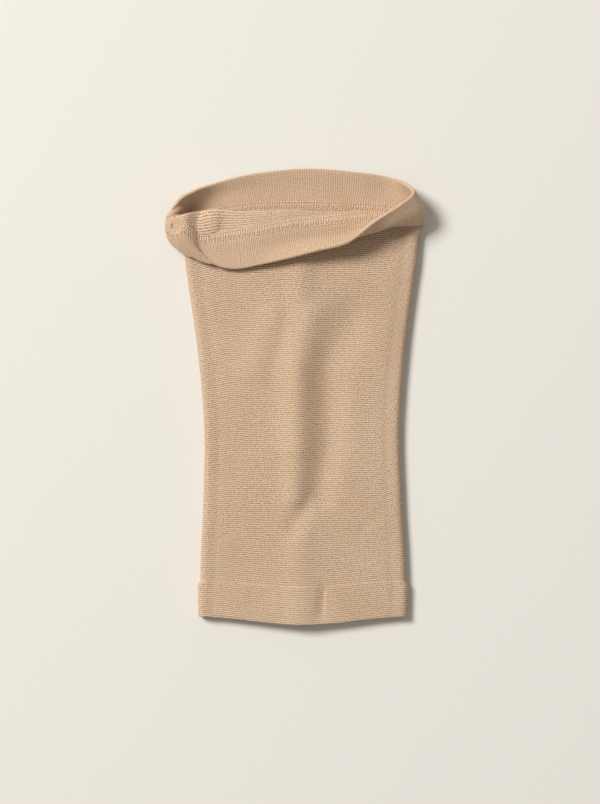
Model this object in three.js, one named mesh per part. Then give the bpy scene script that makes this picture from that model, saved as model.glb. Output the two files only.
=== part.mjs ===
// A compression sleeve for the leg: a tapered knitted tube with a doubled hem at each end.
// It lies flat on its back, and the front of its mouth is turned down as a cuff.
//
// Millimetres. +X is to the right, +Y runs up the sleeve to the mouth, +Z is up from the surface.
// The origin is on the surface, under the middle of the sleeve.
//
// The cloth is one surface. Its two parameters are:
//   around  from 0 to 1 round the tube: 0 back, 0.25 right edge, 0.5 front, 0.75 left edge
//   row     a whole number of knots along the cloth, from the bottom rim up to the mouth's rim
// Each piece is a wall on its own rows of that surface.
import * as THREE from "three";

// Cloth
const KNIT_WALL = 1.2;
const HEM_WALL = 2.2;
const SEAM_GAP = 0.5;
const RIM_ROUND = 0.7;
const CLOTH_COLOR = 0xc9a582;

// The flattened tube
const BOTTOM_RIM_Y = -133.9;
const BOTTOM_SEAM_Y = -112.4;
const BOTTOM_SAG = 4.9;
const BOTTOM_SAG_REACH = 70;
const EDGE_RADIUS = 3.1;
const EDGE_SHARE = 0.02;
const CROWN_HEIGHT = 1.6;
const EDGE_GROOVE_DEPTH = 0.5;
const EDGE_GROOVE_IN = 6;
const EDGE_GROOVE_WIDTH = 2.2;
const HEM_PROUD = 1.5;
const HEM_PROUD_REACH = 3;

// The mouth
const NECK_DROP = 5;
const BASE_DROP = 17;
const LOWER_DROP = 30;

// The tube's side edges, up the sleeve.
const OUTLINE = [
  { y: -140, left: -57.8, right: 66.6 },
  { y: -110, left: -58.2, right: 67.3 },
  { y: -63, left: -56.4, right: 65.0 },
  { y: -20, left: -55.8, right: 63.8 },
  { y: 25, left: -59.5, right: 66.8 },
  { y: 69, left: -65.6, right: 72.3 },
  { y: 88, left: -68.2, right: 75.0 },
  { y: 104, left: -69.5, right: 76.0 },
  { y: 120, left: -70.0, right: 76.4 },
];

// Soft ridges (height over 0) and troughs (under 0) of the front layer, each along a line.
const FRONT_FOLDS = [
  { name: "centre ridge, top", from: [3, 104], to: [3, 30], width: 9, height: 1.6 },
  { name: "centre ridge, middle", from: [3, 30], to: [2, -60], width: 8, height: 1.0 },
  { name: "centre ridge, foot", from: [2, -60], to: [3, -140], width: 9, height: 1.9 },
  { name: "slanting trough", from: [35, 47], to: [12, 29], width: 7, height: -1.8 },
  { name: "long trough", from: [10, 26], to: [11, -10], width: 6, height: -3.0 },
  { name: "long trough, tail", from: [10, -14], to: [5, -34], width: 5, height: -1.6 },
  { name: "short trough", from: [10, -52], to: [-5, -78], width: 5.5, height: -1.9 },
  { name: "left swell, top", from: [-14, 50], to: [-25, 18], width: 9, height: 1.0 },
  { name: "left swell, long", from: [-4, 22], to: [-8, -54], width: 7, height: 1.3 },
  { name: "hollow under cuff", from: [20, 92], to: [68, 96], width: 16, height: -1.2 },
  { name: "hem dent", from: [17, -116], to: [16, -128], width: 4, height: -1.4 },
];

// The mouth, station by station round the tube. Each column is a point of the cloth:
// crest where it is turned over (or the same depth on the back), seam, middle of the hem, and rim.
const MOUTH = [
  { at: 0.0, name: "back middle",
    crest: [4.7, 101, 0.6], seam: [4, 115.5, 0.6], hem: [3.5, 127, 0.6], rim: [3, 138.6, 0.6] },
  { at: 0.1, name: "back right",
    crest: [35, 100.5, 0.6], seam: [36.5, 115, 0.6], hem: [38, 126, 0.7], rim: [38.5, 136.4, 1.3] },
  { at: 0.185, name: "back, near the right edge",
    crest: [60.5, 99, 0.7], seam: [62, 113.5, 1.3], hem: [62, 124, 3.3], rim: [61, 132.4, 6.4] },
  { at: 0.225, name: "right corner, behind",
    crest: [71.3, 99, 2.2], seam: [73, 111.5, 4.2], hem: [71.8, 121.5, 9.5], rim: [67.3, 129.4, 13.5] },
  { at: 0.25, name: "right corner",
    crest: [75.2, 98.5, 4.2], seam: [78, 108.5, 8], hem: [76.8, 117, 13.8], rim: [71.6, 125.4, 19] },
  { at: 0.272, name: "right corner, in front",
    crest: [74.5, 102, 6.6], seam: [77.6, 105.4, 9.6], hem: [76.4, 113, 17], rim: [70.8, 121.5, 22.5] },
  { at: 0.3, name: "front, near the right edge",
    crest: [64, 109.5, 8.2], seam: [65.5, 104.2, 11.5], hem: [66.4, 107, 18.5], rim: [64.6, 116.3, 24.5] },
  { at: 0.35, name: "front right, hem curled up",
    crest: [48.5, 111.5, 10], seam: [49.5, 108, 12.4], hem: [50.5, 100.6, 17], rim: [49.5, 106.5, 25.5] },
  { at: 0.4125, name: "front right, hem standing",
    crest: [30, 112.3, 11.6], seam: [31, 106.5, 14], hem: [31.5, 97.2, 14], rim: [31.5, 93, 22.5] },
  { at: 0.469, name: "front, right of the middle",
    crest: [13.5, 112.2, 11.8], seam: [13.5, 104.6, 14.2], hem: [13.5, 95.5, 13.8], rim: [13.5, 88.3, 19.5] },
  { at: 0.523, name: "front middle",
    crest: [-2, 113.6, 11.6], seam: [-2, 103.2, 14.2], hem: [-2.5, 93.3, 13.4], rim: [-3.5, 84.2, 16] },
  { at: 0.58, name: "front left",
    crest: [-18.6, 112.9, 11.4], seam: [-19, 100.2, 13.6], hem: [-20.5, 90, 12.3], rim: [-21.7, 80.5, 12.3] },
  { at: 0.635, name: "front left, cuff lying flat",
    crest: [-35, 112.7, 11.2], seam: [-35.7, 97.3, 12.8], hem: [-36.3, 87.3, 11.5], rim: [-36.3, 78.2, 10.8] },
  { at: 0.67, name: "front, right of the pleat",
    crest: [-49, 113.7, 11.4], seam: [-49, 95.5, 12], hem: [-47.3, 87, 11], rim: [-44.5, 79, 10.6] },
  { at: 0.688, name: "pleat, valley",
    crest: [-57.6, 112.5, 11.6], seam: [-59.4, 94.2, 11.8], hem: [-56.5, 86.3, 10.6], rim: [-49.5, 80.3, 10.5] },
  { at: 0.7, name: "pleat, fold",
    crest: [-61.9, 111.6, 13.8], seam: [-63.6, 97.4, 15], hem: [-61, 89.5, 13.4], rim: [-53, 81.6, 10.9] },
  { at: 0.713, name: "left roll, on top",
    crest: [-65.6, 110.8, 15.8], seam: [-67.6, 99.6, 16.6], hem: [-66.2, 92, 13.6], rim: [-59.5, 84, 10.2] },
  { at: 0.726, name: "left roll, over the side edge",
    crest: [-69.2, 110, 15.6], seam: [-72.4, 97.6, 13.8], hem: [-71, 91.8, 11], rim: [-67, 87.8, 9.6] },
  { at: 0.737, name: "left roll, side",
    crest: [-71.6, 109.2, 15], seam: [-76, 98.6, 11], hem: [-75.4, 94.4, 5.8], rim: [-72.6, 93, 2.6] },
  { at: 0.747, name: "left roll, outermost",
    crest: [-71, 108, 12.6], seam: [-77, 102.8, 12], hem: [-77.6, 99.8, 6], rim: [-75.2, 98.4, 2.6] },
  { at: 0.757, name: "left roll, hem turned under",
    crest: [-69.6, 106.4, 9], seam: [-75, 107.4, 13.4], hem: [-78, 105.2, 8], rim: [-77, 104, 3] },
  { at: 0.766, name: "left corner, hem over the roll",
    crest: [-67.8, 105.4, 5], seam: [-72, 109.8, 11], hem: [-75.6, 110.6, 12.4], rim: [-77.8, 109.2, 7.6] },
  { at: 0.775, name: "left corner, hem leaning out",
    crest: [-65, 105, 2.2], seam: [-68.6, 110.6, 6], hem: [-71.4, 114.4, 12.8], rim: [-74.8, 114.6, 13.2] },
  { at: 0.786, name: "left corner, behind",
    crest: [-61.4, 104.4, 1.0], seam: [-65.4, 111.6, 3], hem: [-68.4, 117, 9.6], rim: [-71, 119.6, 15.6] },
  { at: 0.806, name: "back, near the left edge",
    crest: [-55.4, 103.4, 0.6], seam: [-59, 113.2, 1.2], hem: [-61.4, 119.4, 5.8], rim: [-63.2, 124.6, 11.8] },
  { at: 0.85, name: "back left, rim lifted",
    crest: [-43, 102.4, 0.6], seam: [-46.4, 114.6, 0.6], hem: [-48.4, 122.8, 1.6], rim: [-49.6, 129.8, 5] },
  { at: 0.905, name: "back left",
    crest: [-27, 102, 0.6], seam: [-29.4, 115.2, 0.6], hem: [-31.4, 125.8, 0.7], rim: [-32.8, 134.3, 1.8] },
];

// Rows of the surface at the ends of its stretches.
const ROW = { bottomRim: 0, bottomSeam: 1, lower: 2, base: 3, neck: 4, crest: 5, seam: 6, hem: 7, rim: 8 };

// How finely the walls are faceted: steps round the tube, and along each piece.
const AROUND_STEPS = [
  { from: 0, to: 0.19, steps: 7 },
  { from: 0.19, to: 0.31, steps: 13 },
  { from: 0.31, to: 0.66, steps: 23 },
  { from: 0.66, to: 0.83, steps: 26 },
  { from: 0.83, to: 1, steps: 5 },
];
const BODY_STEPS = [
  { from: ROW.bottomSeam, to: ROW.lower, steps: 11 },
  { from: ROW.lower, to: ROW.neck, steps: 3 },
  { from: ROW.neck, to: ROW.crest, steps: 2 },
  { from: ROW.crest, to: 5.85, steps: 3 },
  { from: 5.85, to: ROW.seam, steps: 1 },
];
const BOTTOM_HEM_STEPS = [
  { from: ROW.bottomRim, to: 0.87, steps: 2 },
  { from: 0.87, to: ROW.bottomSeam, steps: 1 },
];
const TOP_HEM_STEPS = [
  { from: ROW.seam, to: 6.15, steps: 1 },
  { from: 6.15, to: ROW.rim, steps: 5 },
];

const mix = (a, b, share) => a + (b - a) * share;
const smoothstep = (t) => THREE.MathUtils.smoothstep(t, 0, 1);

// Slope at the middle of three points of a curve, by the parabola through them.
function slopeThrough(x0, y0, x1, y1, x2, y2) {
  const before = (y1 - y0) / (x1 - x0);
  const after = (y2 - y1) / (x2 - x1);
  return (before * (x2 - x1) + after * (x1 - x0)) / (x2 - x0);
}

// Cubic through (xs[k], ys[k]) with those slopes; xs rise, and x lies between its ends.
function smoothCurve(xs, ys, x) {
  const last = xs.length - 1;
  let k = 0;
  while (k < last - 1 && x > xs[k + 1]) k++;
  const width = xs[k + 1] - xs[k];
  const slope = (i) => {
    if (i === 0) return (ys[1] - ys[0]) / (xs[1] - xs[0]);
    if (i === last) return (ys[last] - ys[last - 1]) / (xs[last] - xs[last - 1]);
    return slopeThrough(xs[i - 1], ys[i - 1], xs[i], ys[i], xs[i + 1], ys[i + 1]);
  };
  const t = (x - xs[k]) / width;
  const t2 = t * t;
  const t3 = t2 * t;
  return (
    ys[k] * (2 * t3 - 3 * t2 + 1) +
    slope(k) * width * (t3 - 2 * t2 + t) +
    ys[k + 1] * (3 * t2 - 2 * t3) +
    slope(k + 1) * width * (t3 - t2)
  );
}

const OUTLINE_Y = OUTLINE.map((row) => row.y);
const edgeAt = (side, y) => smoothCurve(OUTLINE_Y, OUTLINE.map((row) => row[side]), y);

// Height that the folds add to the front layer at (x, y).
function foldHeight(x, y) {
  let total = 0;
  for (const { from, to, width, height } of FRONT_FOLDS) {
    const along = [to[0] - from[0], to[1] - from[1]];
    const length2 = along[0] ** 2 + along[1] ** 2;
    const share = ((x - from[0]) * along[0] + (y - from[1]) * along[1]) / length2;
    const held = THREE.MathUtils.clamp(share, 0, 1);
    const away = Math.hypot(x - from[0] - along[0] * held, y - from[1] - along[1] * held);
    total += height * Math.exp(-((away / width) ** 2));
  }
  return total;
}

// A point of the flattened tube's middle surface, before its bottom edge is bowed.
function flatTube(around, y) {
  const half = KNIT_WALL / 2;
  const proud = HEM_PROUD * smoothstep((BOTTOM_SEAM_Y - y) / HEM_PROUD_REACH);
  const left = edgeAt("left", y) - proud + half + EDGE_RADIUS;
  const right = edgeAt("right", y) + proud - half - EDGE_RADIUS;
  const middle = half + EDGE_RADIUS;
  const turn = around - Math.floor(around);
  const fromRight = (turn - 0.25) / EDGE_SHARE;
  const fromLeft = (turn - 0.75) / EDGE_SHARE;
  if (Math.abs(fromRight) <= 1) {
    const angle = (fromRight * Math.PI) / 2;
    return [right + EDGE_RADIUS * Math.cos(angle), y, middle + EDGE_RADIUS * Math.sin(angle)];
  }
  if (Math.abs(fromLeft) <= 1) {
    const angle = (fromLeft * Math.PI) / 2;
    return [left - EDGE_RADIUS * Math.cos(angle), y, middle - EDGE_RADIUS * Math.sin(angle)];
  }
  const span = 0.5 - 2 * EDGE_SHARE;
  if (turn > 0.25 && turn < 0.75) {
    const share = (turn - 0.25 - EDGE_SHARE) / span;
    const x = mix(right, left, share);
    const inside = Math.min(x - left, right - x);
    const ease = smoothstep(inside / (2 * EDGE_GROOVE_IN));
    const groove = EDGE_GROOVE_DEPTH * Math.exp(-(((inside - EDGE_GROOVE_IN) / EDGE_GROOVE_WIDTH) ** 2));
    const crown = CROWN_HEIGHT * Math.sin(Math.PI * share) ** 2;
    return [x, y, middle + EDGE_RADIUS + crown + ease * foldHeight(x, y) - groove];
  }
  const share = turn > 0.5 ? turn - 0.75 - EDGE_SHARE : turn + 0.25 - EDGE_SHARE;
  return [mix(left, right, share / span), y, half];
}

// The same, with the rings near the bottom bowed down in the middle, less on the back.
function tube(around, y) {
  const point = flatTube(around, y);
  const turn = around - Math.floor(around);
  const isFront = turn > 0.25 && turn < 0.75;
  const reach = isFront ? 1 : 0.5;
  const bow = BOTTOM_SAG * reach * Math.cos(2 * Math.PI * turn) ** 2;
  const fade = 1 - smoothstep((y - BOTTOM_RIM_Y) / BOTTOM_SAG_REACH);
  point[1] -= bow * fade;
  return point;
}

// One column of the mouth's table at any place round the tube, by a smooth closed curve.
function mouthPoint(column, around) {
  const count = MOUTH.length;
  const turn = around - Math.floor(around);
  let k = count - 1;
  for (let i = 0; i < count; i++) if (turn >= MOUTH[i].at) k = i;
  const lap = (i) => Math.floor(i / count);
  const at = (i) => MOUTH[i - lap(i) * count].at + lap(i);
  const value = (i, axis) => MOUTH[i - lap(i) * count][column][axis];
  const knots = [k - 1, k, k + 1, k + 2];
  return [0, 1, 2].map((axis) => {
    const x = knots.map(at);
    const y = knots.map((i) => value(i, axis));
    const width = x[2] - x[1];
    const t = (turn - x[1]) / width;
    const start = slopeThrough(x[0], y[0], x[1], y[1], x[2], y[2]) * width;
    const end = slopeThrough(x[1], y[1], x[2], y[2], x[3], y[3]) * width;
    const t2 = t * t;
    const t3 = t2 * t;
    return y[1] * (2 * t3 - 3 * t2 + 1) + start * (t3 - 2 * t2 + t) + y[2] * (3 * t2 - 2 * t3) + end * (t3 - t2);
  });
}

// The knots of one meridian, from the bottom rim to the mouth's rim, and their spacing.
function meridian(around) {
  const crest = mouthPoint("crest", around);
  const points = [
    tube(around, BOTTOM_RIM_Y),
    tube(around, BOTTOM_SEAM_Y),
    tube(around, crest[1] - LOWER_DROP),
    tube(around, crest[1] - BASE_DROP),
    tube(around, crest[1] - NECK_DROP),
    crest,
    mouthPoint("seam", around),
    mouthPoint("hem", around),
    mouthPoint("rim", around),
  ];
  const knots = [0];
  for (let i = 1; i < points.length; i++) {
    const step = Math.hypot(...points[i].map((value, axis) => value - points[i - 1][axis]));
    knots.push(knots[i - 1] + Math.sqrt(step));
  }
  return { points, knots };
}

// A point of the cloth's middle surface.
function cloth(around, row) {
  const { points, knots } = meridian(around);
  if (row <= ROW.lower) {
    const lowY = row <= ROW.bottomSeam ? BOTTOM_RIM_Y : BOTTOM_SEAM_Y;
    const highY = row <= ROW.bottomSeam ? BOTTOM_SEAM_Y : mouthPoint("crest", around)[1] - LOWER_DROP;
    return tube(around, mix(lowY, highY, row <= ROW.bottomSeam ? row : row - 1));
  }
  const first = ROW.lower;
  const k = Math.min(Math.floor(row), ROW.rim - 1);
  const x = mix(knots[k], knots[k + 1], row - k);
  const along = (axis) => smoothCurve(knots.slice(first), points.slice(first).map((p) => p[axis]), x);
  return [along(0), along(1), Math.max(along(2), KNIT_WALL / 2)];
}

// The cloth's outward direction there.
function outward(around, row) {
  const stepAround = 1e-4;
  const stepRow = 1e-3;
  const top = ROW.rim;
  const ahead = new THREE.Vector3(...cloth(around + stepAround, row));
  const behind = new THREE.Vector3(...cloth(around - stepAround, row));
  const above = new THREE.Vector3(...cloth(around, Math.min(row + stepRow, top)));
  const below = new THREE.Vector3(...cloth(around, Math.max(row - stepRow, 0)));
  return above.sub(below).cross(ahead.sub(behind)).normalize();
}

// Values along a list of stretches, each split evenly; a closed list leaves out its end.
function stops(stretches, isClosed) {
  const values = [];
  for (const { from, to, steps } of stretches) {
    for (let i = 0; i < steps; i++) values.push(mix(from, to, i / steps));
  }
  if (!isClosed) values.push(stretches.at(-1).to);
  return values;
}

// A closed wall on the given rows. outer and inner are its depths on each side of the surface,
// startCut and endCut what is trimmed off its ends, and a round end has its edge drawn out.
function wall({ rows, outer, inner, startCut = 0, endCut = 0, startRound = 0, endRound = 0 }) {
  const turns = stops(AROUND_STEPS, true);
  const levels = stops(rows, false);
  const rings = [];
  const ring = (points) => rings.push(points);
  const last = levels.length - 1;
  // The row that lies length along the cloth from the given row, towards another.
  const trimmed = (turn, row, towards, length) => {
    const probe = mix(row, towards, 0.02);
    const start = new THREE.Vector3(...cloth(turn, row));
    return mix(row, towards, (0.02 * length) / start.distanceTo(new THREE.Vector3(...cloth(turn, probe))));
  };
  const rowAt = (turn, level) => {
    if (level === 0 && startCut) return trimmed(turn, levels[0], levels[1], startCut);
    if (level === last && endCut) return trimmed(turn, levels[last], levels[last - 1], endCut);
    return levels[level];
  };
  const grid = levels.map((_, level) => turns.map((turn) => new THREE.Vector3(...cloth(turn, rowAt(turn, level)))));
  const normals = levels.map((_, level) => turns.map((turn) => outward(turn, rowAt(turn, level))));
  const shifted = (level, depth) => grid[level].map((point, i) => point.clone().addScaledVector(normals[level][i], depth));
  const nose = (level, next, length) => {
    const middle = shifted(level, (outer - inner) / 2);
    const back = shifted(next, (outer - inner) / 2);
    return middle.map((point, i) => point.clone().add(point.clone().sub(back[i]).setLength(length)));
  };
  for (let level = 0; level <= last; level++) ring(shifted(level, outer));
  if (endRound) ring(nose(last, last - 1, endRound));
  for (let level = last; level >= 0; level--) ring(shifted(level, -inner));
  if (startRound) ring(nose(0, 1, startRound));

  const positions = rings.flat().flatMap((point) => point.toArray());
  const index = [];
  for (let r = 0; r < rings.length; r++) {
    const above = ((r + 1) % rings.length) * turns.length;
    const here = r * turns.length;
    for (let i = 0; i < turns.length; i++) {
      const next = (i + 1) % turns.length;
      index.push(here + i, above + i, here + next);
      index.push(here + next, above + i, above + next);
    }
  }
  const geometry = new THREE.BufferGeometry();
  geometry.setAttribute("position", new THREE.Float32BufferAttribute(positions, 3));
  geometry.setIndex(index);
  geometry.computeVertexNormals();
  return geometry;
}

function piece(name, geometry, roughness) {
  const material = new THREE.MeshStandardMaterial({ color: CLOTH_COLOR, roughness, metalness: 0 });
  const mesh = new THREE.Mesh(geometry, material);
  mesh.name = name;
  return mesh;
}

const half = KNIT_WALL / 2;
const sleeve = new THREE.Group();
sleeve.add(
  piece("sleeve_body", wall({
    rows: BODY_STEPS, outer: half, inner: half, startCut: SEAM_GAP / 2, endCut: SEAM_GAP / 2,
  }), 0.92),
  piece("bottom_hem", wall({
    rows: BOTTOM_HEM_STEPS, outer: half, inner: HEM_WALL - half, endCut: SEAM_GAP / 2, startRound: RIM_ROUND,
  }), 0.9),
  piece("top_hem", wall({
    rows: TOP_HEM_STEPS, outer: half, inner: HEM_WALL - half, startCut: SEAM_GAP / 2, endRound: RIM_ROUND,
  }), 0.9),
);

export default sleeve;
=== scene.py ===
"""A knitted compression sleeve for the leg, lying flat on its back, its mouth turned down in front.

The cloth is one surface with two parameters. "around" runs from 0 to 1 round the tube: 0 is the
back, 0.25 the right edge, 0.5 the front and 0.75 the left edge. "row" counts knots along the cloth,
from the bottom rim to the mouth's rim. Each piece is a wall on its own rows. The tables are in
millimetres, and every mesh is in metres.
"""
import math

import bmesh
import bpy
import numpy as np
from mathutils import Matrix, Vector


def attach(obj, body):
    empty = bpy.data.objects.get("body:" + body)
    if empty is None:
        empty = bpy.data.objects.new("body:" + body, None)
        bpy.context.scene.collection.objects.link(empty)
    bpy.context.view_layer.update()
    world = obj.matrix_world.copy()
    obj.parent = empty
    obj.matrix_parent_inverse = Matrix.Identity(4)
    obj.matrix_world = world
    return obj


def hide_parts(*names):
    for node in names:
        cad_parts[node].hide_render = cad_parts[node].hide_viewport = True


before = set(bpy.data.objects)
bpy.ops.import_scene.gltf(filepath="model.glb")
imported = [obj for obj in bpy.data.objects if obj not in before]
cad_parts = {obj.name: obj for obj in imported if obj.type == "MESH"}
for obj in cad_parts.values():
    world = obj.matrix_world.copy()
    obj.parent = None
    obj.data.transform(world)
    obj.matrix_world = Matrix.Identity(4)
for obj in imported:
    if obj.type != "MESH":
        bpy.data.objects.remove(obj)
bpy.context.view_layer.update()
MM = 0.001

# Cloth
KNIT_WALL = 1.2
HEM_WALL = 2.2
SEAM_GAP = 0.02
HEM_LENGTH = 22.0         # depth of a hem, along the cloth
RIM_ROUND = 0.7           # how far the fold at a rim stands out
RAW_EDGE = 5.4            # how far the turned-in layer reaches past the seam
RAW_EDGE_LIFT = 0.15      # its clearance over the knit
COURSE = 1.28             # height of one course of loops
WALE = 1.32               # width of one wale of loops
RIB = 1.42                # pitch of the hem's ribs
CRISP_ANGLE = 50          # degrees past which a hem's edge is drawn sharp

# The second roll beside the pleat: where it is, how far it reaches, how high it stands
SWELL_AT, SWELL_ROW = 0.676, 5.52
SWELL_AT_REACH, SWELL_ROW_REACH = 0.0125, 0.36
SWELL_HEIGHT = 2.2

# Stitches
STITCH_PITCH = 1.9
NEEDLE_IN = 0.8           # from the seam to the first needle row, on the hem's side
NEEDLE_OUT = 3.6          # from the seam to the second, on the raw edge's side
LOOPER_AT = 1.4           # from the seam to the middle of the looper's slants
LOOPER_PITCH = 1.5
LOOPER_LENGTH = 4.4
THREAD_CLEARANCE = 0.05
LINE_SAMPLES = 1500       # places at which a line of stitches is measured

# Colours
SURFACE_COLOR = (0.765, 0.757, 0.727)
# Dark and light of the knit and of the hem's ribs: painted shade in the gaps between loops and ribs, painted
# light on their tops; the yarn's own colour lies between them.
KNIT_PAINTED_SHADE = (0.27, 0.165, 0.095)
KNIT_PAINTED_LIGHT = (0.96, 0.73, 0.53)
HEM_PAINTED_SHADE = (0.36, 0.235, 0.145)
HEM_PAINTED_LIGHT = (0.80, 0.59, 0.42)
THREAD_DARK = (0.62, 0.45, 0.31)
THREAD_LIGHT = (0.82, 0.62, 0.46)

# Camera, light and surface, in metres but for the view's centre
CAMERA_HEIGHT = 1.9
VIEW_HEIGHT = 0.4904
VIEW_CENTRE = (2.7, -3.4)  # millimetres
SLEEVE_TOP = 8             # millimetres: the height at which the view is VIEW_HEIGHT tall
KEY_PLACE = (-2.6, 1.9, 3.3)
KEY_SIZE, KEY_POWER = 1.7, 228.0
KEY_COLOR = (1.0, 0.97, 0.93)
FILL_COLOR = (1.0, 0.94, 0.86, 1)
FILL_STRENGTH = 0.34
SURFACE_HALF_SIZE = 1.5
SURFACE_DROP = 0.02        # millimetres

# The flattened tube
BOTTOM_RIM_Y = -133.9
BOTTOM_SEAM_Y = -112.4
BOTTOM_SAG = 4.9
BOTTOM_SAG_REACH = 70
EDGE_RADIUS = 3.1
EDGE_SHARE = 0.02
CROWN_HEIGHT = 1.6
EDGE_GROOVE_DEPTH = 0.25
EDGE_GROOVE_IN = 5
EDGE_GROOVE_WIDTH = 2.2
HEM_PROUD = 1.5
HEM_PROUD_REACH = 3
NECK_DROP = 5
BASE_DROP = 17
LOWER_DROP = 30

# The tube's side edges, up the sleeve: y, left, right.
OUTLINE = [
    (-140, -57.8, 66.6),
    (-110, -58.2, 67.3),
    (-63, -56.4, 65.0),
    (-20, -55.8, 63.8),
    (25, -59.5, 66.8),
    (69, -65.6, 72.3),
    (88, -68.2, 75.0),
    (104, -69.5, 76.0),
    (120, -70.0, 76.4),
]

# Soft ridges (height over 0) and troughs (under 0) of the front layer: from, to, width, height.
FRONT_FOLDS = [
    ((3, 104), (3, 50), 8, 1.6),         # centre ridge, top
    ((8, 48), (1, 18), 10, 3.0),         # centre ridge, swelling left of the trough
    ((1, 18), (1, -32), 9, 3.9),         # centre ridge, middle
    ((1, -32), (0, -62), 8, 3.0),        # centre ridge, lower
    ((2, -62), (3, -140), 9, 1.5),       # centre ridge, foot
    ((34, 48), (21, 22), 12, -2.6),      # long trough, top
    ((20, 22), (20, -30), 10, -3.2),     # long trough, middle
    ((20, -30), (14, -60), 9, -2.6),     # long trough, lower
    ((9, -62), (-2, -80), 6, -2.0),      # long trough, tail
    ((-14, 50), (-25, 18), 9, 1.2),      # left swell
    ((20, 92), (68, 96), 16, -1.2),      # hollow under the turned-down mouth
    ((17, -116), (16, -128), 4, -1.2),   # dent in the foot hem
]

# The mouth, station by station: around, then the crest where the cloth is turned over (or the same
# depth on the back), the seam, the middle of the hem, and the rim.
MOUTH = [
    # back middle
    (0.0, (4.7, 101, 0.6), (4, 118.2, 0.6), (3.5, 128.4, 1.2), (3, 138.6, 3.0)),
    # back right
    (0.1, (35, 100.5, 0.6), (36.5, 117.4, 0.6), (38, 127.0, 1.5), (38.5, 136.4, 3.8)),
    # back, near the right edge
    (0.185, (60.5, 99, 0.7), (62, 114.6, 1.3), (62, 124, 3.3), (61, 132.4, 6.4)),
    # right corner, behind
    (0.225, (71.3, 99, 2.2), (73, 111.5, 4.2), (71.8, 121.5, 9.5), (67.3, 129.4, 13.5)),
    # right corner
    (0.25, (75.2, 98.5, 4.2), (78, 108.5, 8), (76.8, 117, 13.8), (71.6, 125.4, 19)),
    # right corner, in front
    (0.272, (74.5, 102, 6.6), (77.6, 105.4, 9.6), (76.4, 113, 17), (70.8, 121.5, 22.5)),
    # front, near the right edge
    (0.3, (64, 109.5, 8.2), (65.5, 104.2, 11.5), (66.4, 107, 18.5), (64.6, 116.3, 24.5)),
    # front right, hem curled up
    (0.35, (48.5, 111.5, 10), (49.5, 108, 12.4), (50.5, 100.6, 17), (49.5, 106.5, 25.5)),
    # front right, hem standing
    (0.4125, (30, 112.3, 11.6), (31, 106.5, 14), (31.5, 97.2, 14), (31.5, 93, 22.5)),
    # front, right of the middle
    (0.469, (13.5, 112.2, 11.8), (13.5, 104.6, 14.2), (13.5, 95.5, 13.8), (13.5, 88.3, 19.5)),
    # front middle
    (0.523, (-2, 113.6, 11.6), (-2, 103.2, 14.2), (-2.5, 93.3, 13.4), (-3.5, 84.2, 16)),
    # front left
    (0.58, (-18.6, 112.9, 11.4), (-19, 100.2, 13.6), (-20.5, 90, 12.3), (-21.7, 80.5, 12.3)),
    # front left, cuff lying flat
    (0.635, (-35, 112.7, 11.2), (-35.7, 97.3, 12.8), (-36.3, 87.3, 11.5), (-36.3, 78.2, 10.8)),
    # front, right of the pleat
    (0.67, (-49, 113.7, 11.4), (-49, 95.5, 12), (-47.3, 87, 11), (-44.5, 79, 10.6)),
    # pleat, valley
    (0.688, (-57.6, 112.5, 11.6), (-59.4, 94.2, 11.8), (-56.5, 86.3, 10.6), (-49.5, 80.3, 10.5)),
    # pleat, fold
    (0.7, (-61.9, 111.6, 13.8), (-63.6, 97.4, 15), (-61, 89.5, 13.4), (-53, 81.6, 10.9)),
    # left roll, on top
    (0.713, (-65.6, 110.8, 15.8), (-67.6, 99.6, 16.6), (-66.2, 92, 13.6), (-59.5, 84, 10.2)),
    # left roll, over the side edge
    (0.726, (-69.2, 110, 15.6), (-72.4, 97.6, 13.8), (-71, 91.8, 11), (-67, 87.8, 9.6)),
    # left roll, side
    (0.737, (-71.6, 109.2, 15), (-76, 98.6, 11), (-75.4, 94.4, 5.8), (-72.6, 93, 2.6)),
    # left roll, outermost
    (0.747, (-71, 108, 12.6), (-77, 102.8, 12), (-77.6, 99.8, 6), (-75.2, 98.4, 2.6)),
    # left roll, hem turned under
    (0.757, (-69.6, 106.4, 9), (-75, 107.4, 13.4), (-78, 105.2, 8), (-77, 104, 3)),
    # left corner, hem over the roll
    (0.766, (-67.8, 105.4, 5), (-72, 109.8, 11), (-75.6, 110.6, 12.4), (-77.8, 109.2, 7.6)),
    # left corner, hem leaning out
    (0.775, (-65, 105, 2.2), (-68.6, 110.6, 6), (-71.4, 114.4, 12.8), (-74.8, 114.6, 13.2)),
    # left corner, behind
    (0.786, (-61.4, 104.4, 1.0), (-65.4, 111.6, 3), (-68.4, 117, 9.6), (-71, 119.6, 15.6)),
    # back, near the left edge
    (0.806, (-55.4, 103.4, 0.6), (-59, 113.2, 1.2), (-61.4, 119.4, 5.8), (-63.2, 124.6, 11.8)),
    # back left, rim lifted
    (0.85, (-43, 102.4, 0.6), (-46.4, 114.6, 0.6), (-48.4, 122.8, 1.6), (-49.6, 129.8, 5)),
    # back left
    (0.905, (-27, 102, 0.6), (-29.4, 117.2, 0.6), (-31.4, 126.6, 1.4), (-32.8, 134.3, 3.8)),
]

# Finer creases of the knit, too fine for the solids.
SMALL_FOLDS = [
    ((-33, -51), (-8, -57), 2.2, 0.35),    # crosswise crease, left
    ((16, -51), (46, -54), 2.0, -0.3),     # crosswise crease, right
    ((55, -66), (39, -83), 2.4, -0.35),    # slanting crease, right
    ((-12, -118), (-10, -127), 3.0, 0.5),  # swell in the foot hem
    ((-28, -117), (-27, -126), 2.4, -0.3), # hollow beside it
    ((19, -115), (18.6, -128), 1.2, 0.5),  # sharp pinch beside the hem's dent
    ((2.4, 84), (2.4, -130), 1.7, 0.45),   # pressed line along the centre
]
ALL_FOLDS = FRONT_FOLDS + SMALL_FOLDS

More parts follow.
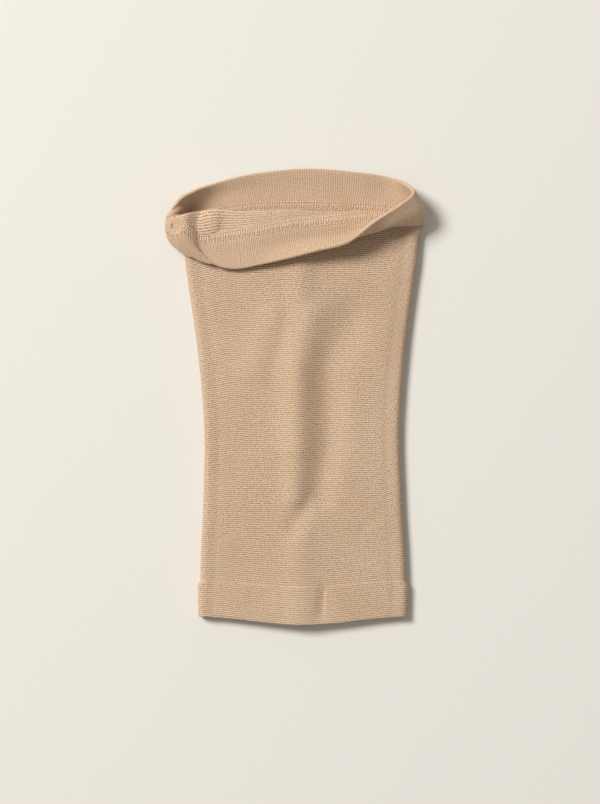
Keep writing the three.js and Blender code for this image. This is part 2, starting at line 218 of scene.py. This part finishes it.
# The knots along the cloth that the code names; the bottom rim is row 0.
ROW_BOTTOM_RIM, ROW_BOTTOM_SEAM, ROW_LOWER, ROW_NECK, ROW_SEAM, ROW_RIM = 0, 1, 2, 4, 6, 8


# ---------------------------------------------------------------- the cloth's surface

def smoothstep(t):
    t = np.clip(t, 0, 1)
    return t * t * (3 - 2 * t)


def hermite(t, y0, m0, y1, m1):
    """Cubic from y0 to y1 with end slopes m0 and m1, t from 0 to 1."""
    t2, t3 = t * t, t * t * t
    return y0 * (2 * t3 - 3 * t2 + 1) + m0 * (t3 - 2 * t2 + t) + y1 * (3 * t2 - 2 * t3) + m1 * (t3 - t2)


def knot_slopes(knots, values):
    """Slopes at the knots by the parabola through each three; the last axis counts knots."""
    step = np.diff(knots, axis=-1)
    rise = np.diff(values, axis=-1) / step
    before, after = step[..., :-1], step[..., 1:]
    inner = (rise[..., :-1] * after + rise[..., 1:] * before) / (before + after)
    return np.concatenate([rise[..., :1], inner, rise[..., -1:]], axis=-1)


def curve_at(knots, values, x):
    """One smooth curve, read at each x."""
    slopes = knot_slopes(knots, values)
    k = np.clip(np.searchsorted(knots, x, side="left") - 1, 0, len(knots) - 2)
    width = knots[k + 1] - knots[k]
    t = (x - knots[k]) / width
    return hermite(t, values[k], slopes[k] * width, values[k + 1], slopes[k + 1] * width)


OUTLINE_COLUMNS = np.array(OUTLINE, float).T


def fold_height(x, y):
    """Height of the front's ridges and troughs; the fourth powers stop joined folds adding up."""
    rise = np.zeros(np.broadcast(x, y).shape)
    dip = np.zeros_like(rise)
    for (x0, y0), (x1, y1), width, height in ALL_FOLDS:
        length2 = (x1 - x0) ** 2 + (y1 - y0) ** 2
        share = np.clip(((x - x0) * (x1 - x0) + (y - y0) * (y1 - y0)) / length2, 0, 1)
        away2 = (x - x0 - (x1 - x0) * share) ** 2 + (y - y0 - (y1 - y0) * share) ** 2
        bump = (height * np.exp(-away2 / width ** 2)) ** 4
        if height > 0:
            rise += bump
        else:
            dip += bump
    return rise ** 0.25 - dip ** 0.25


def tube(around, y):
    """Points of the flattened tube; around and y are arrays of one shape."""
    turn = around % 1.0
    half = KNIT_WALL / 2
    proud = HEM_PROUD * smoothstep((BOTTOM_SEAM_Y - y) / HEM_PROUD_REACH)
    left = curve_at(OUTLINE_COLUMNS[0], OUTLINE_COLUMNS[1], y) - proud + half + EDGE_RADIUS
    right = curve_at(OUTLINE_COLUMNS[0], OUTLINE_COLUMNS[2], y) + proud - half - EDGE_RADIUS
    middle = half + EDGE_RADIUS
    span = 0.5 - 2 * EDGE_SHARE
    # front
    share = np.clip((turn - 0.25 - EDGE_SHARE) / span, 0, 1)
    x_front = right + (left - right) * share
    inside = np.minimum(x_front - left, right - x_front)
    ease = smoothstep(inside / (2 * EDGE_GROOVE_IN))
    groove = EDGE_GROOVE_DEPTH * np.exp(-((inside - EDGE_GROOVE_IN) / EDGE_GROOVE_WIDTH) ** 2)
    crown = CROWN_HEIGHT * np.sin(np.pi * share) ** 2
    z_front = middle + EDGE_RADIUS + crown + ease * fold_height(x_front, y) - groove
    # back
    back_turn = np.where(turn > 0.5, turn - 0.75 - EDGE_SHARE, turn + 0.25 - EDGE_SHARE)
    x_back = left + (right - left) * np.clip(back_turn / span, 0, 1)
    # side edges
    from_right = (turn - 0.25) / EDGE_SHARE
    from_left = (turn - 0.75) / EDGE_SHARE
    at_right = np.abs(from_right) <= 1
    at_left = np.abs(from_left) <= 1
    is_front = (turn > 0.25) & (turn < 0.75)
    x = np.where(is_front, x_front, x_back)
    z = np.where(is_front, z_front, half)
    x = np.where(at_right, right + EDGE_RADIUS * np.cos(from_right * np.pi / 2), x)
    z = np.where(at_right, middle + EDGE_RADIUS * np.sin(from_right * np.pi / 2), z)
    x = np.where(at_left, left - EDGE_RADIUS * np.cos(from_left * np.pi / 2), x)
    z = np.where(at_left, middle - EDGE_RADIUS * np.sin(from_left * np.pi / 2), z)
    bow = BOTTOM_SAG * np.where(is_front, 1.0, 0.5) * np.cos(2 * np.pi * turn) ** 2
    fade = 1 - smoothstep((y - BOTTOM_RIM_Y) / BOTTOM_SAG_REACH)
    return np.stack([x, y - bow * fade, z], axis=-1)


MOUTH_AT = np.array([row[0] for row in MOUTH])


def mouth_points(column, around):
    """One column of the mouth's table at each place round the tube, on a closed smooth curve."""
    turn = around % 1.0
    values = np.array([row[column] for row in MOUTH], float)
    lap = len(MOUTH)
    pad = 2
    knots = np.concatenate([MOUTH_AT[-pad:] - 1, MOUTH_AT, MOUTH_AT[:pad + 1] + 1])
    ring = np.concatenate([values[-pad:], values, values[:pad + 1]])
    k = np.searchsorted(MOUTH_AT, turn, side="right") - 1 + pad
    k = np.clip(k, pad, pad + lap - 1)
    slopes = knot_slopes(knots[None, :], ring.T).T
    width = (knots[k + 1] - knots[k])[:, None]
    t = ((turn - knots[k]) / width[:, 0])[:, None]
    return hermite(t, ring[k], slopes[k] * width, ring[k + 1], slopes[k + 1] * width)


def cloth(around, row):
    """Points of the middle surface for arrays around (n) and row (m): an (n, m, 3) array."""
    around = np.atleast_1d(np.asarray(around, float))
    row = np.atleast_1d(np.asarray(row, float))
    if row.ndim == 1:
        row = np.broadcast_to(row, (len(around), len(row)))
    crest = mouth_points(1, around)
    low_y = np.where(row <= ROW_BOTTOM_SEAM, BOTTOM_RIM_Y, BOTTOM_SEAM_Y)
    high_y = np.where(row <= ROW_BOTTOM_SEAM, BOTTOM_SEAM_Y, crest[:, 1:2] - LOWER_DROP)
    share = np.where(row <= ROW_BOTTOM_SEAM, row, row - 1)
    y = low_y + (high_y - low_y) * np.clip(share, -0.2, 1)
    flat = tube(np.broadcast_to(around[:, None], row.shape), y)
    knot_points = [tube(around, crest[:, 1] - drop) for drop in (LOWER_DROP, BASE_DROP, NECK_DROP)]
    knot_points += [crest] + [mouth_points(column, around) for column in (2, 3, 4)]
    points = np.stack(knot_points, axis=1)
    steps = np.sqrt(np.linalg.norm(np.diff(points, axis=1), axis=2))
    knots = np.concatenate([np.zeros((len(around), 1)), np.cumsum(steps, axis=1)], axis=1)
    slopes = knot_slopes(knots[:, None, :], points.transpose(0, 2, 1)).transpose(0, 2, 1)
    k = np.clip(np.floor(row).astype(int), ROW_LOWER, ROW_RIM - 1) - ROW_LOWER
    t = (row - k - ROW_LOWER)[..., None]
    n = np.arange(len(around))[:, None]
    width = (knots[n, k + 1] - knots[n, k])[..., None]
    upper = hermite(t, points[n, k], slopes[n, k] * width, points[n, k + 1], slopes[n, k + 1] * width)
    upper[..., 2] = np.maximum(upper[..., 2], KNIT_WALL / 2)
    return np.where((row <= ROW_LOWER)[..., None], flat, upper)


AROUND_STEP, ROW_STEP = 2e-4, 2e-3   # how far apart a slope is measured


def outward(around, row):
    """Unit normals of the surface, out of the tube."""
    around = np.asarray(around, float)
    row = np.asarray(row, float)
    if row.ndim == 1:
        row = np.broadcast_to(row, (len(around), len(row)))
    ahead = cloth(around + AROUND_STEP, row) - cloth(around - AROUND_STEP, row)
    above = cloth(around, np.minimum(row + ROW_STEP, ROW_RIM))
    along = above - cloth(around, np.maximum(row - ROW_STEP, ROW_BOTTOM_RIM))
    normal = np.cross(along, ahead)
    return normal / np.maximum(np.linalg.norm(normal, axis=-1, keepdims=True), 1e-9)


WALK_STEP, MOST_STEPS = 0.01, 400    # steps along the cloth, in rows


def row_past(around, row, length):
    """The row that lies length millimetres along the cloth from row, up or down."""
    step = WALK_STEP * np.sign(length)
    reach = np.full((len(around), 1), float(row))
    left = np.full((len(around), 1), abs(length))
    for _ in range(MOST_STEPS):
        here = cloth(around, reach)
        there = cloth(around, reach + step)
        gone = np.linalg.norm(there - here, axis=-1)
        part = np.clip(left / np.maximum(gone, 1e-9), 0, 1)
        reach = reach + step * part
        left = left - gone * part
        if left.max() < 1e-4:
            break
    return reach[:, 0]


# ---------------------------------------------------------------- meshes from the surface

def mesh_piece(name, bm, material):
    mesh = bpy.data.meshes.new(name)
    bm.to_mesh(mesh)
    bm.free()
    piece = bpy.data.objects.new(name, mesh)
    bpy.context.collection.objects.link(piece)
    mesh.materials.append(material)
    mesh.shade_smooth()
    return piece


def sheet_grid(points, uv, closed_profile=False):
    """A grid laid on points (n, m, 3), in millimetres, closed round n, and round m if asked."""
    n, m = points.shape[:2]
    bm = bmesh.new()
    bmesh.ops.create_grid(bm, x_segments=n - 1, y_segments=m - 1, size=1)
    bm.verts.ensure_lookup_table()
    place = {}
    for vert in bm.verts:
        i = round((vert.co.x + 1) / 2 * (n - 1))
        j = round((vert.co.y + 1) / 2 * (m - 1))
        place[vert.index] = (i, j)
    uv_layer = bm.loops.layers.uv.new("cloth")
    for face in bm.faces:
        for loop in face.loops:
            loop[uv_layer].uv = uv[place[loop.vert.index]]
    for vert in bm.verts:
        vert.co = Vector(points[place[vert.index]]) * MM
    ends = [v for v in bm.verts if place[v.index][0] in (0, n - 1)
            or (closed_profile and place[v.index][1] in (0, m - 1))]
    bmesh.ops.remove_doubles(bm, verts=ends, dist=1e-7)
    return bm


def point_outwards(bm):
    """A closed wall's faces turned out."""
    bmesh.ops.recalc_face_normals(bm, faces=bm.faces)


def length_round(points):
    """Length round the tube to each point of rings laid on the first axis."""
    steps = np.linalg.norm(np.diff(points, axis=0), axis=-1)
    return np.concatenate([np.zeros((1,) + steps.shape[1:]), np.cumsum(steps, axis=0)])


def cloth_uv(girth, lengths):
    """UV in metres: round the tube, and along the cloth."""
    return np.stack(np.broadcast_arrays(girth, lengths[None, :]), axis=-1) * MM


def uneven_around(counts):
    """Places round the tube, closed, with a number of steps for each stretch."""
    return np.concatenate([np.linspace(a, b, n, endpoint=False) for a, b, n in counts] + [[1.0]])


FRONT_MIDDLE = 0.5
FRONT_LEFT = 0.6          # clear of the pleat and of the centre's folds


def front_lengths(rows):
    """Length along the cloth at each row, on the front."""
    return length_round(cloth(np.array([FRONT_LEFT]), rows)[0])


# About 0.1 mm of cloth at each end of the body, so its cut edges are drawn crisp
LOW_END_ROW, TOP_END_ROW = 0.0006, 0.01


def make_body(material):
    around = uneven_around([(0, 0.2, 26), (0.2, 0.3, 32), (0.3, 0.64, 104), (0.64, 0.84, 92), (0.84, 1, 18)])
    after = row_past(around[:1], ROW_BOTTOM_SEAM, SEAM_GAP / 2)[0]
    rows = np.concatenate([
        [after],
        np.linspace(after + LOW_END_ROW, ROW_LOWER, 92, endpoint=False),
        np.linspace(ROW_LOWER, ROW_NECK, 18, endpoint=False),
        np.linspace(ROW_NECK, ROW_SEAM - TOP_END_ROW, 38),
        [ROW_SEAM],
    ])
    stops = np.broadcast_to(rows, (len(around), len(rows))).copy()
    stops[:, -1] = row_past(around, ROW_SEAM, -SEAM_GAP / 2)
    points = cloth(around, stops) + knit_bulge(around, stops)
    points[:, :, 2] = np.maximum(points[:, :, 2], KNIT_WALL / 2)
    girth = length_round(points)
    girth -= girth[np.argmin(np.abs(around - FRONT_MIDDLE))]
    bm = sheet_grid(points, cloth_uv(girth, front_lengths(rows)))
    piece = mesh_piece("sleeve_knit", bm, material)
    wall = piece.modifiers.new("wall", "SOLIDIFY")
    wall.thickness = KNIT_WALL * MM
    wall.offset = 0
    wall.use_quality_normals = True
    return piece


def knit_bulge(around, rows):
    """The soft bump of cloth beside the pleat, on the inside face of the turned-down front."""
    along = (np.asarray(around)[:, None] - SWELL_AT) / SWELL_AT_REACH
    across = (rows - SWELL_ROW) / SWELL_ROW_REACH
    bump = SWELL_HEIGHT * np.exp(-(np.abs(along) ** 3 + np.abs(across) ** 3))
    return outward(around, rows) * -bump[..., None]


RIM_STEPS = 8             # steps of the fold round a rim
EDGE_STEPS = 6            # places across the raw edge
RIM_STEP = 0.02           # rows before the rim, for its direction
HEM_ROWS = 20             # rows of each layer of a hem


def make_hem(name, material, seam_row, rim_row, around, outer_rows):
    """A doubled hem: the knit turned in at the rim, its raw edge lying past the seam inside."""
    sign = 1 if rim_row > seam_row else -1
    n = len(around)
    start = row_past(around, seam_row, sign * SEAM_GAP / 2)
    raw = row_past(around, seam_row, -sign * RAW_EDGE)
    half = KNIT_WALL / 2
    inner = HEM_WALL - half
    share = np.linspace(0, 1, outer_rows)
    columns = []
    lengths = []
    rows_out = start[:, None] + (rim_row - start[:, None]) * share[None, :]
    depth = (HEM_WALL / 2)
    middle_offset = half - depth

    def add(rows, offset, length):
        points = cloth(around, rows)
        normals = outward(around, rows)
        columns.append(points + normals * offset)
        lengths.extend(length)

    add(rows_out, half, share * HEM_LENGTH)
    # the round of the rim
    rim_rows = np.full((n, 1), float(rim_row))
    centre = cloth(around, rim_rows) + outward(around, rim_rows) * middle_offset
    before_rim = rim_rows - sign * RIM_STEP
    back = cloth(around, before_rim) + outward(around, before_rim) * middle_offset
    tip = centre - back
    tip /= np.linalg.norm(tip, axis=-1, keepdims=True)
    up = outward(around, rim_rows)
    for angle in np.linspace(0, np.pi, RIM_STEPS)[1:-1]:
        columns.append(centre + up * depth * math.cos(angle) + tip * RIM_ROUND * math.sin(angle))
        lengths.append(HEM_LENGTH + HEM_WALL * angle / np.pi)
    inner_share = np.linspace(1, 0, outer_rows)
    rows_in = start[:, None] + (rim_row - start[:, None]) * inner_share[None, :]
    add(rows_in, -inner, HEM_LENGTH + HEM_WALL + (1 - inner_share) * HEM_LENGTH)
    # the raw edge, past the seam, and back under it
    past = np.linspace(0, 1, EDGE_STEPS)[1:]
    rows_past = start[:, None] + (raw - start)[:, None] * past[None, :]
    add(rows_past, -inner, 2 * HEM_LENGTH + HEM_WALL + past * RAW_EDGE)
    back_share = np.linspace(1, 0, EDGE_STEPS)
    rows_back = start[:, None] + (raw - start)[:, None] * back_share[None, :]
    add(rows_back, -half - RAW_EDGE_LIFT, 2 * HEM_LENGTH + HEM_WALL + RAW_EDGE * (2 - back_share))
    points = np.concatenate(columns + [columns[0][:, :1]], axis=1)
    lengths = np.array(list(lengths) + [lengths[-1] + half])
    points[:, :, 2] = np.maximum(points[:, :, 2], 0.0)
    girth = length_round(cloth(around, np.full((n, 1), (seam_row + rim_row) / 2)))
    bm = sheet_grid(points, cloth_uv(girth, lengths), closed_profile=True)
    point_outwards(bm)
    piece = mesh_piece(name, bm, material)
    piece.data.set_sharp_from_angle(angle=math.radians(CRISP_ANGLE))
    return piece


# ---------------------------------------------------------------- stitches

def stitch_rows(name, rows, material):
    """Rows of small rounded stitches; each is (points, normals, length, width, height) in mm."""
    bm = bmesh.new()
    for centres, directions, normals, length, width, height in rows:
        for centre, direction, normal in zip(centres, directions, normals):
            x_axis = Vector(direction).normalized()
            z_axis = Vector(normal)
            z_axis = (z_axis - x_axis * z_axis.dot(x_axis)).normalized()
            y_axis = z_axis.cross(x_axis)
            turn = Matrix((x_axis, y_axis, z_axis)).transposed().to_4x4()
            size = Matrix.Diagonal((length / 2 * MM, width / 2 * MM, height / 2 * MM, 1))
            place = Matrix.Translation(Vector(centre) * MM)
            bmesh.ops.create_icosphere(bm, subdivisions=1, radius=1, matrix=place @ turn @ size)
    return mesh_piece(name, bm, material)


def along_seam(seam_row, shift, depth, pitch):
    """Places at an even pitch along a row of the cloth, shift millimetres past it, at a depth."""
    around = np.linspace(0, 1, LINE_SAMPLES)
    row = row_past(around, seam_row, shift)
    line = cloth(around, row[:, None])[:, 0] + outward(around, row[:, None])[:, 0] * depth
    normal = outward(around, row[:, None])[:, 0] * np.sign(depth)
    gone = np.concatenate([[0], np.cumsum(np.linalg.norm(np.diff(line, axis=0), axis=1))])
    count = int(gone[-1] / pitch)
    at = np.linspace(0, gone[-1], count, endpoint=False) + pitch / 2
    centres = np.stack([np.interp(at, gone, line[:, k]) for k in range(3)], axis=1)
    normals = np.stack([np.interp(at, gone, normal[:, k]) for k in range(3)], axis=1)
    directions = np.gradient(centres, axis=0)
    return centres, directions, normals


def make_stitches(name, material, seam_row, sign):
    """Coverstitching: two needle rows inside, the looper's slants between them, and a row outside."""
    inside = -(HEM_WALL - KNIT_WALL / 2) - THREAD_CLEARANCE
    outside = KNIT_WALL / 2 + THREAD_CLEARANCE
    rows = []
    for shift in (sign * NEEDLE_IN, -sign * NEEDLE_OUT):
        centres, directions, normals = along_seam(seam_row, shift, inside, STITCH_PITCH)
        rows.append((centres, directions, normals, 1.75, 0.7, 0.8))
    centres, directions, normals = along_seam(seam_row, -sign * LOOPER_AT, inside, LOOPER_PITCH)
    across = np.cross(normals, directions)
    lean = np.where(np.arange(len(centres)) % 2 == 0, 1, -1)[:, None]
    slant = across / np.linalg.norm(across, axis=1, keepdims=True) * LOOPER_LENGTH
    forward = directions / np.linalg.norm(directions, axis=1, keepdims=True) * 1.0 * lean
    rows.append((centres, slant + forward, normals, LOOPER_LENGTH, 0.6, 0.8))
    centres, directions, normals = along_seam(seam_row, sign * NEEDLE_IN, outside, STITCH_PITCH)
    rows.append((centres, directions, normals, 1.35, 0.5, 0.4))
    return stitch_rows(name, rows, material)


# ---------------------------------------------------------------- materials

def group_tree(name, inputs, outputs):
    tree = bpy.data.node_groups.new(name, "ShaderNodeTree")
    for label, kind, value in inputs:
        socket = tree.interface.new_socket(name=label, in_out="INPUT", socket_type=kind)
        if value is not None:
            socket.default_value = value
    for label, kind in outputs:
        tree.interface.new_socket(name=label, in_out="OUTPUT", socket_type=kind)
    return tree, tree.nodes.new("NodeGroupInput"), tree.nodes.new("NodeGroupOutput")


def math_node(tree, operation, first, second=None, third=None, clamp=False):
    node = tree.nodes.new("ShaderNodeMath")
    node.operation = operation
    node.use_clamp = clamp
    for socket, value in zip(node.inputs, (first, second, third)):
        if value is None:
            continue
        if isinstance(value, (int, float)):
            socket.default_value = value
        else:
            tree.links.new(value, socket)
    return node.outputs[0]


def knit_loops_group():
    """Rows of knitted loops on a UV in metres: courses across, wales along, uneven as yarn is."""
    tree, source, sink = group_tree(
        "knit_loops",
        [("UV", "NodeSocketVector", None), ("Course", "NodeSocketFloat", COURSE * MM),
         ("Wale", "NodeSocketFloat", WALE * MM), ("Course Share", "NodeSocketFloat", 0.75)],
        [("Height", "NodeSocketFloat"), ("Shade", "NodeSocketFloat")])
    links = tree.links
    warp = tree.nodes.new("ShaderNodeTexNoise")
    warp.inputs["Scale"].default_value = 160.0
    warp.inputs["Detail"].default_value = 2.0
    links.new(source.outputs["UV"], warp.inputs["Vector"])
    wander = math_node(tree, "MULTIPLY", math_node(tree, "SUBTRACT", warp.outputs["Fac"], 0.5), 0.9)
    split = tree.nodes.new("ShaderNodeSeparateXYZ")
    links.new(source.outputs["UV"], split.inputs[0])
    u_turns = math_node(tree, "DIVIDE", split.outputs["X"], source.outputs["Wale"])
    v_turns = math_node(tree, "DIVIDE", split.outputs["Y"], source.outputs["Course"])
    u_angle = math_node(tree, "MULTIPLY", math_node(tree, "ADD", u_turns, wander), math.tau)
    u_wave = math_node(tree, "SINE", u_angle)
    bow = math_node(tree, "MULTIPLY", u_wave, 0.10)
    v_wave = math_node(tree, "SINE", math_node(
        tree, "MULTIPLY", math_node(tree, "ADD", math_node(tree, "ADD", v_turns, bow), wander), math.tau))
    share = source.outputs["Course Share"]
    rest = math_node(tree, "SUBTRACT", 1.0, share)
    courses = math_node(tree, "MULTIPLY", v_wave, share)
    wales = math_node(tree, "MULTIPLY", u_wave, rest)
    waves = math_node(tree, "ADD", courses, wales)
    yarn = tree.nodes.new("ShaderNodeTexNoise")
    yarn.inputs["Scale"].default_value = 1000.0
    yarn.inputs["Detail"].default_value = 3.0
    yarn.inputs["Roughness"].default_value = 0.6
    links.new(source.outputs["UV"], yarn.inputs["Vector"])
    fuzz = math_node(tree, "MULTIPLY", math_node(tree, "SUBTRACT", yarn.outputs["Fac"], 0.5), 2.6)
    height = math_node(tree, "ADD", math_node(tree, "MULTIPLY", waves, 0.5), fuzz)
    links.new(math_node(tree, "MULTIPLY_ADD", height, 0.5, 0.5), sink.inputs["Height"])
    # Shade: painted shade in the gaps and painted light on the loops, from the same waves as the relief, with
    # the yarn's random fuzz
    loop_shade_and_fuzz = math_node(tree, "ADD", math_node(tree, "MULTIPLY", waves, 0.6), fuzz)
    links.new(math_node(tree, "MULTIPLY_ADD", loop_shade_and_fuzz, 0.5, 0.48, clamp=True), sink.inputs["Shade"])
    return tree


def painted_shade_group():
    """Colour of the elastic yarn with painted shade dark in the gaps and painted light on the loops, with
    soft uneven patches.
    """
    tree, source, sink = group_tree(
        "cloth_painted_shade",
        [("Object", "NodeSocketVector", None), ("Shade", "NodeSocketFloat", 0.5),
         ("Gap Shade", "NodeSocketColor", (0.3, 0.2, 0.1, 1)), ("Light", "NodeSocketColor", (0.6, 0.4, 0.3, 1))],
        [("Color", "NodeSocketColor"), ("Roughness", "NodeSocketFloat")])
    links = tree.links
    patch = tree.nodes.new("ShaderNodeTexNoise")
    patch.inputs["Scale"].default_value = 26.0
    patch.inputs["Detail"].default_value = 4.0
    links.new(source.outputs["Object"], patch.inputs["Vector"])
    # painted shade in the gaps and painted light on the loops, mixed by the loops' Shade
    mix = tree.nodes.new("ShaderNodeMix")
    mix.data_type = "RGBA"
    links.new(source.outputs["Shade"], mix.inputs[0])
    links.new(source.outputs["Gap Shade"], mix.inputs[6])
    links.new(source.outputs["Light"], mix.inputs[7])
    uneven = tree.nodes.new("ShaderNodeHueSaturation")
    links.new(math_node(tree, "MULTIPLY_ADD", patch.outputs["Fac"], 0.16, 0.92), uneven.inputs["Value"])
    links.new(math_node(tree, "MULTIPLY_ADD", patch.outputs["Fac"], -0.2, 1.1), uneven.inputs["Saturation"])
    links.new(mix.outputs[2], uneven.inputs["Color"])
    links.new(uneven.outputs[0], sink.inputs["Color"])
    links.new(math_node(tree, "MULTIPLY_ADD", source.outputs["Shade"], -0.12, 0.95), sink.inputs["Roughness"])
    return tree


def cloth_material(name, groups, dark, light, course, wale, course_share, bump):
    loops_group, tone_group = groups
    material = bpy.data.materials.new(name)
    material.use_nodes = True
    tree = material.node_tree
    shader = tree.nodes["Principled BSDF"]
    shader.inputs["Sheen Weight"].default_value = 0.25
    shader.inputs["Sheen Roughness"].default_value = 0.5
    shader.inputs["Sheen Tint"].default_value = (1.0, 0.9, 0.8, 1.0)
    shader.inputs["Specular IOR Level"].default_value = 0.2
    uv = tree.nodes.new("ShaderNodeUVMap")
    uv.uv_map = "cloth"
    coords = tree.nodes.new("ShaderNodeTexCoord")
    loops = tree.nodes.new("ShaderNodeGroup")
    loops.node_tree = loops_group
    loops.inputs["Course"].default_value = course * MM
    loops.inputs["Wale"].default_value = wale * MM
    loops.inputs["Course Share"].default_value = course_share
    tree.links.new(uv.outputs[0], loops.inputs["UV"])
    # the base colour carries painted shade in the loops' gaps and painted light on their tops
    tone = tree.nodes.new("ShaderNodeGroup")
    tone.node_tree = tone_group
    tone.inputs["Gap Shade"].default_value = (*dark, 1)
    tone.inputs["Light"].default_value = (*light, 1)
    tree.links.new(coords.outputs["Object"], tone.inputs["Object"])
    tree.links.new(loops.outputs["Shade"], tone.inputs["Shade"])
    tree.links.new(tone.outputs["Color"], shader.inputs["Base Color"])
    tree.links.new(tone.outputs["Roughness"], shader.inputs["Roughness"])
    relief = tree.nodes.new("ShaderNodeBump")
    relief.inputs["Strength"].default_value = 1.0
    relief.inputs["Distance"].default_value = bump * MM
    tree.links.new(loops.outputs["Height"], relief.inputs["Height"])
    tree.links.new(relief.outputs["Normal"], shader.inputs["Normal"])
    return material


def thread_material():
    material = bpy.data.materials.new("seam_thread")
    material.use_nodes = True
    tree = material.node_tree
    shader = tree.nodes["Principled BSDF"]
    shader.inputs["Sheen Weight"].default_value = 0.2
    shader.inputs["Specular IOR Level"].default_value = 0.3
    coords = tree.nodes.new("ShaderNodeTexCoord")
    twist = tree.nodes.new("ShaderNodeTexNoise")
    twist.inputs["Scale"].default_value = 900.0
    tree.links.new(coords.outputs["Object"], twist.inputs["Vector"])
    ramp = tree.nodes.new("ShaderNodeMix")
    ramp.data_type = "RGBA"
    ramp.inputs[6].default_value = (*THREAD_DARK, 1)
    ramp.inputs[7].default_value = (*THREAD_LIGHT, 1)
    tree.links.new(twist.outputs["Fac"], ramp.inputs[0])
    tree.links.new(ramp.outputs[2], shader.inputs["Base Color"])
    roughness = math_node(tree, "MULTIPLY_ADD", twist.outputs["Fac"], 0.2, 0.6)
    tree.links.new(roughness, shader.inputs["Roughness"])
    relief = tree.nodes.new("ShaderNodeBump")
    relief.inputs["Distance"].default_value = 0.1 * MM
    tree.links.new(twist.outputs["Fac"], relief.inputs["Height"])
    tree.links.new(relief.outputs["Normal"], shader.inputs["Normal"])
    return material


def paper_material():
    """The pale matt surface the sleeve lies on."""
    material = bpy.data.materials.new("surface_paper")
    material.use_nodes = True
    tree = material.node_tree
    shader = tree.nodes["Principled BSDF"]
    shader.inputs["Base Color"].default_value = (*SURFACE_COLOR, 1)
    shader.inputs["Roughness"].default_value = 0.95
    shader.inputs["Specular IOR Level"].default_value = 0.1
    coords = tree.nodes.new("ShaderNodeTexCoord")
    grain = tree.nodes.new("ShaderNodeTexNoise")
    grain.inputs["Scale"].default_value = 300.0
    grain.inputs["Detail"].default_value = 3.0
    tree.links.new(coords.outputs["Object"], grain.inputs["Vector"])
    relief = tree.nodes.new("ShaderNodeBump")
    relief.inputs["Strength"].default_value = 0.3
    relief.inputs["Distance"].default_value = 0.2 * MM
    tree.links.new(grain.outputs["Fac"], relief.inputs["Height"])
    tree.links.new(relief.outputs["Normal"], shader.inputs["Normal"])
    return material


# ---------------------------------------------------------------- camera, light and surface

def add_camera():
    camera = bpy.data.cameras.new("camera")
    camera.sensor_width = 36.0
    camera.lens = camera.sensor_width * CAMERA_HEIGHT / VIEW_HEIGHT
    rig = bpy.data.objects.new("camera", camera)
    rig.location = (VIEW_CENTRE[0] * MM, VIEW_CENTRE[1] * MM, CAMERA_HEIGHT + SLEEVE_TOP * MM)
    bpy.context.collection.objects.link(rig)
    bpy.context.scene.camera = rig


def add_area_light(name, location, target, size, power, color):
    light = bpy.data.lights.new(name, "AREA")
    light.shape = "DISK"
    light.size = size
    light.energy = power
    light.color = color
    lamp = bpy.data.objects.new(name, light)
    lamp.location = location
    lamp.rotation_euler = (Vector(target) - Vector(location)).to_track_quat("-Z", "Y").to_euler()
    bpy.context.collection.objects.link(lamp)


def add_surface(material):
    bm = bmesh.new()
    bmesh.ops.create_grid(bm, x_segments=1, y_segments=1, size=SURFACE_HALF_SIZE)
    bmesh.ops.translate(bm, verts=bm.verts, vec=(0, 0, -SURFACE_DROP * MM))
    surface = mesh_piece("surface", bm, material)
    return surface


# ---------------------------------------------------------------- the scene

bpy.context.scene.view_settings.view_transform = "Standard"
add_camera()
add_area_light("key", KEY_PLACE, (0, 0, 0), KEY_SIZE, KEY_POWER, KEY_COLOR)
world = bpy.data.worlds.new("studio")
world.use_nodes = True
world.node_tree.nodes["Background"].inputs["Color"].default_value = FILL_COLOR
world.node_tree.nodes["Background"].inputs["Strength"].default_value = FILL_STRENGTH
bpy.context.scene.world = world

surface = add_surface(paper_material())
groups = (knit_loops_group(), painted_shade_group())
knit = cloth_material("sleeve_knit", groups, KNIT_PAINTED_SHADE, KNIT_PAINTED_LIGHT, COURSE, WALE, 0.88, 0.5)
ribbed = cloth_material("ribbed_hem", groups, HEM_PAINTED_SHADE, HEM_PAINTED_LIGHT, COURSE, RIB, 0.35, 0.25)
plain_hem = cloth_material("plain_hem", groups, KNIT_PAINTED_SHADE, KNIT_PAINTED_LIGHT, COURSE, WALE, 0.85, 0.5)
thread = thread_material()

body = make_body(knit)
# Steps round each hem, closer where the cloth turns: from, to, number.
hem_places = uneven_around([(0, 0.2, 70), (0.2, 0.3, 90), (0.3, 0.64, 300), (0.64, 0.84, 260), (0.84, 1, 60)])
low_places = uneven_around([(0, 0.2, 40), (0.2, 0.3, 60), (0.3, 0.7, 260), (0.7, 0.8, 60), (0.8, 1, 40)])
top_hem = make_hem("mouth_hem", ribbed, ROW_SEAM, ROW_RIM, hem_places, HEM_ROWS)
bottom_hem = make_hem("foot_hem", plain_hem, ROW_BOTTOM_SEAM, ROW_BOTTOM_RIM, low_places, HEM_ROWS)
top_stitches = make_stitches("mouth_stitches", thread, ROW_SEAM, 1)
low_stitches = make_stitches("foot_stitches", thread, ROW_BOTTOM_SEAM, -1)

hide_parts("sleeve_body")
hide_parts("top_hem")
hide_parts("bottom_hem")
for piece in (body, top_hem, bottom_hem, top_stitches, low_stitches):
    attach(piece, "root")
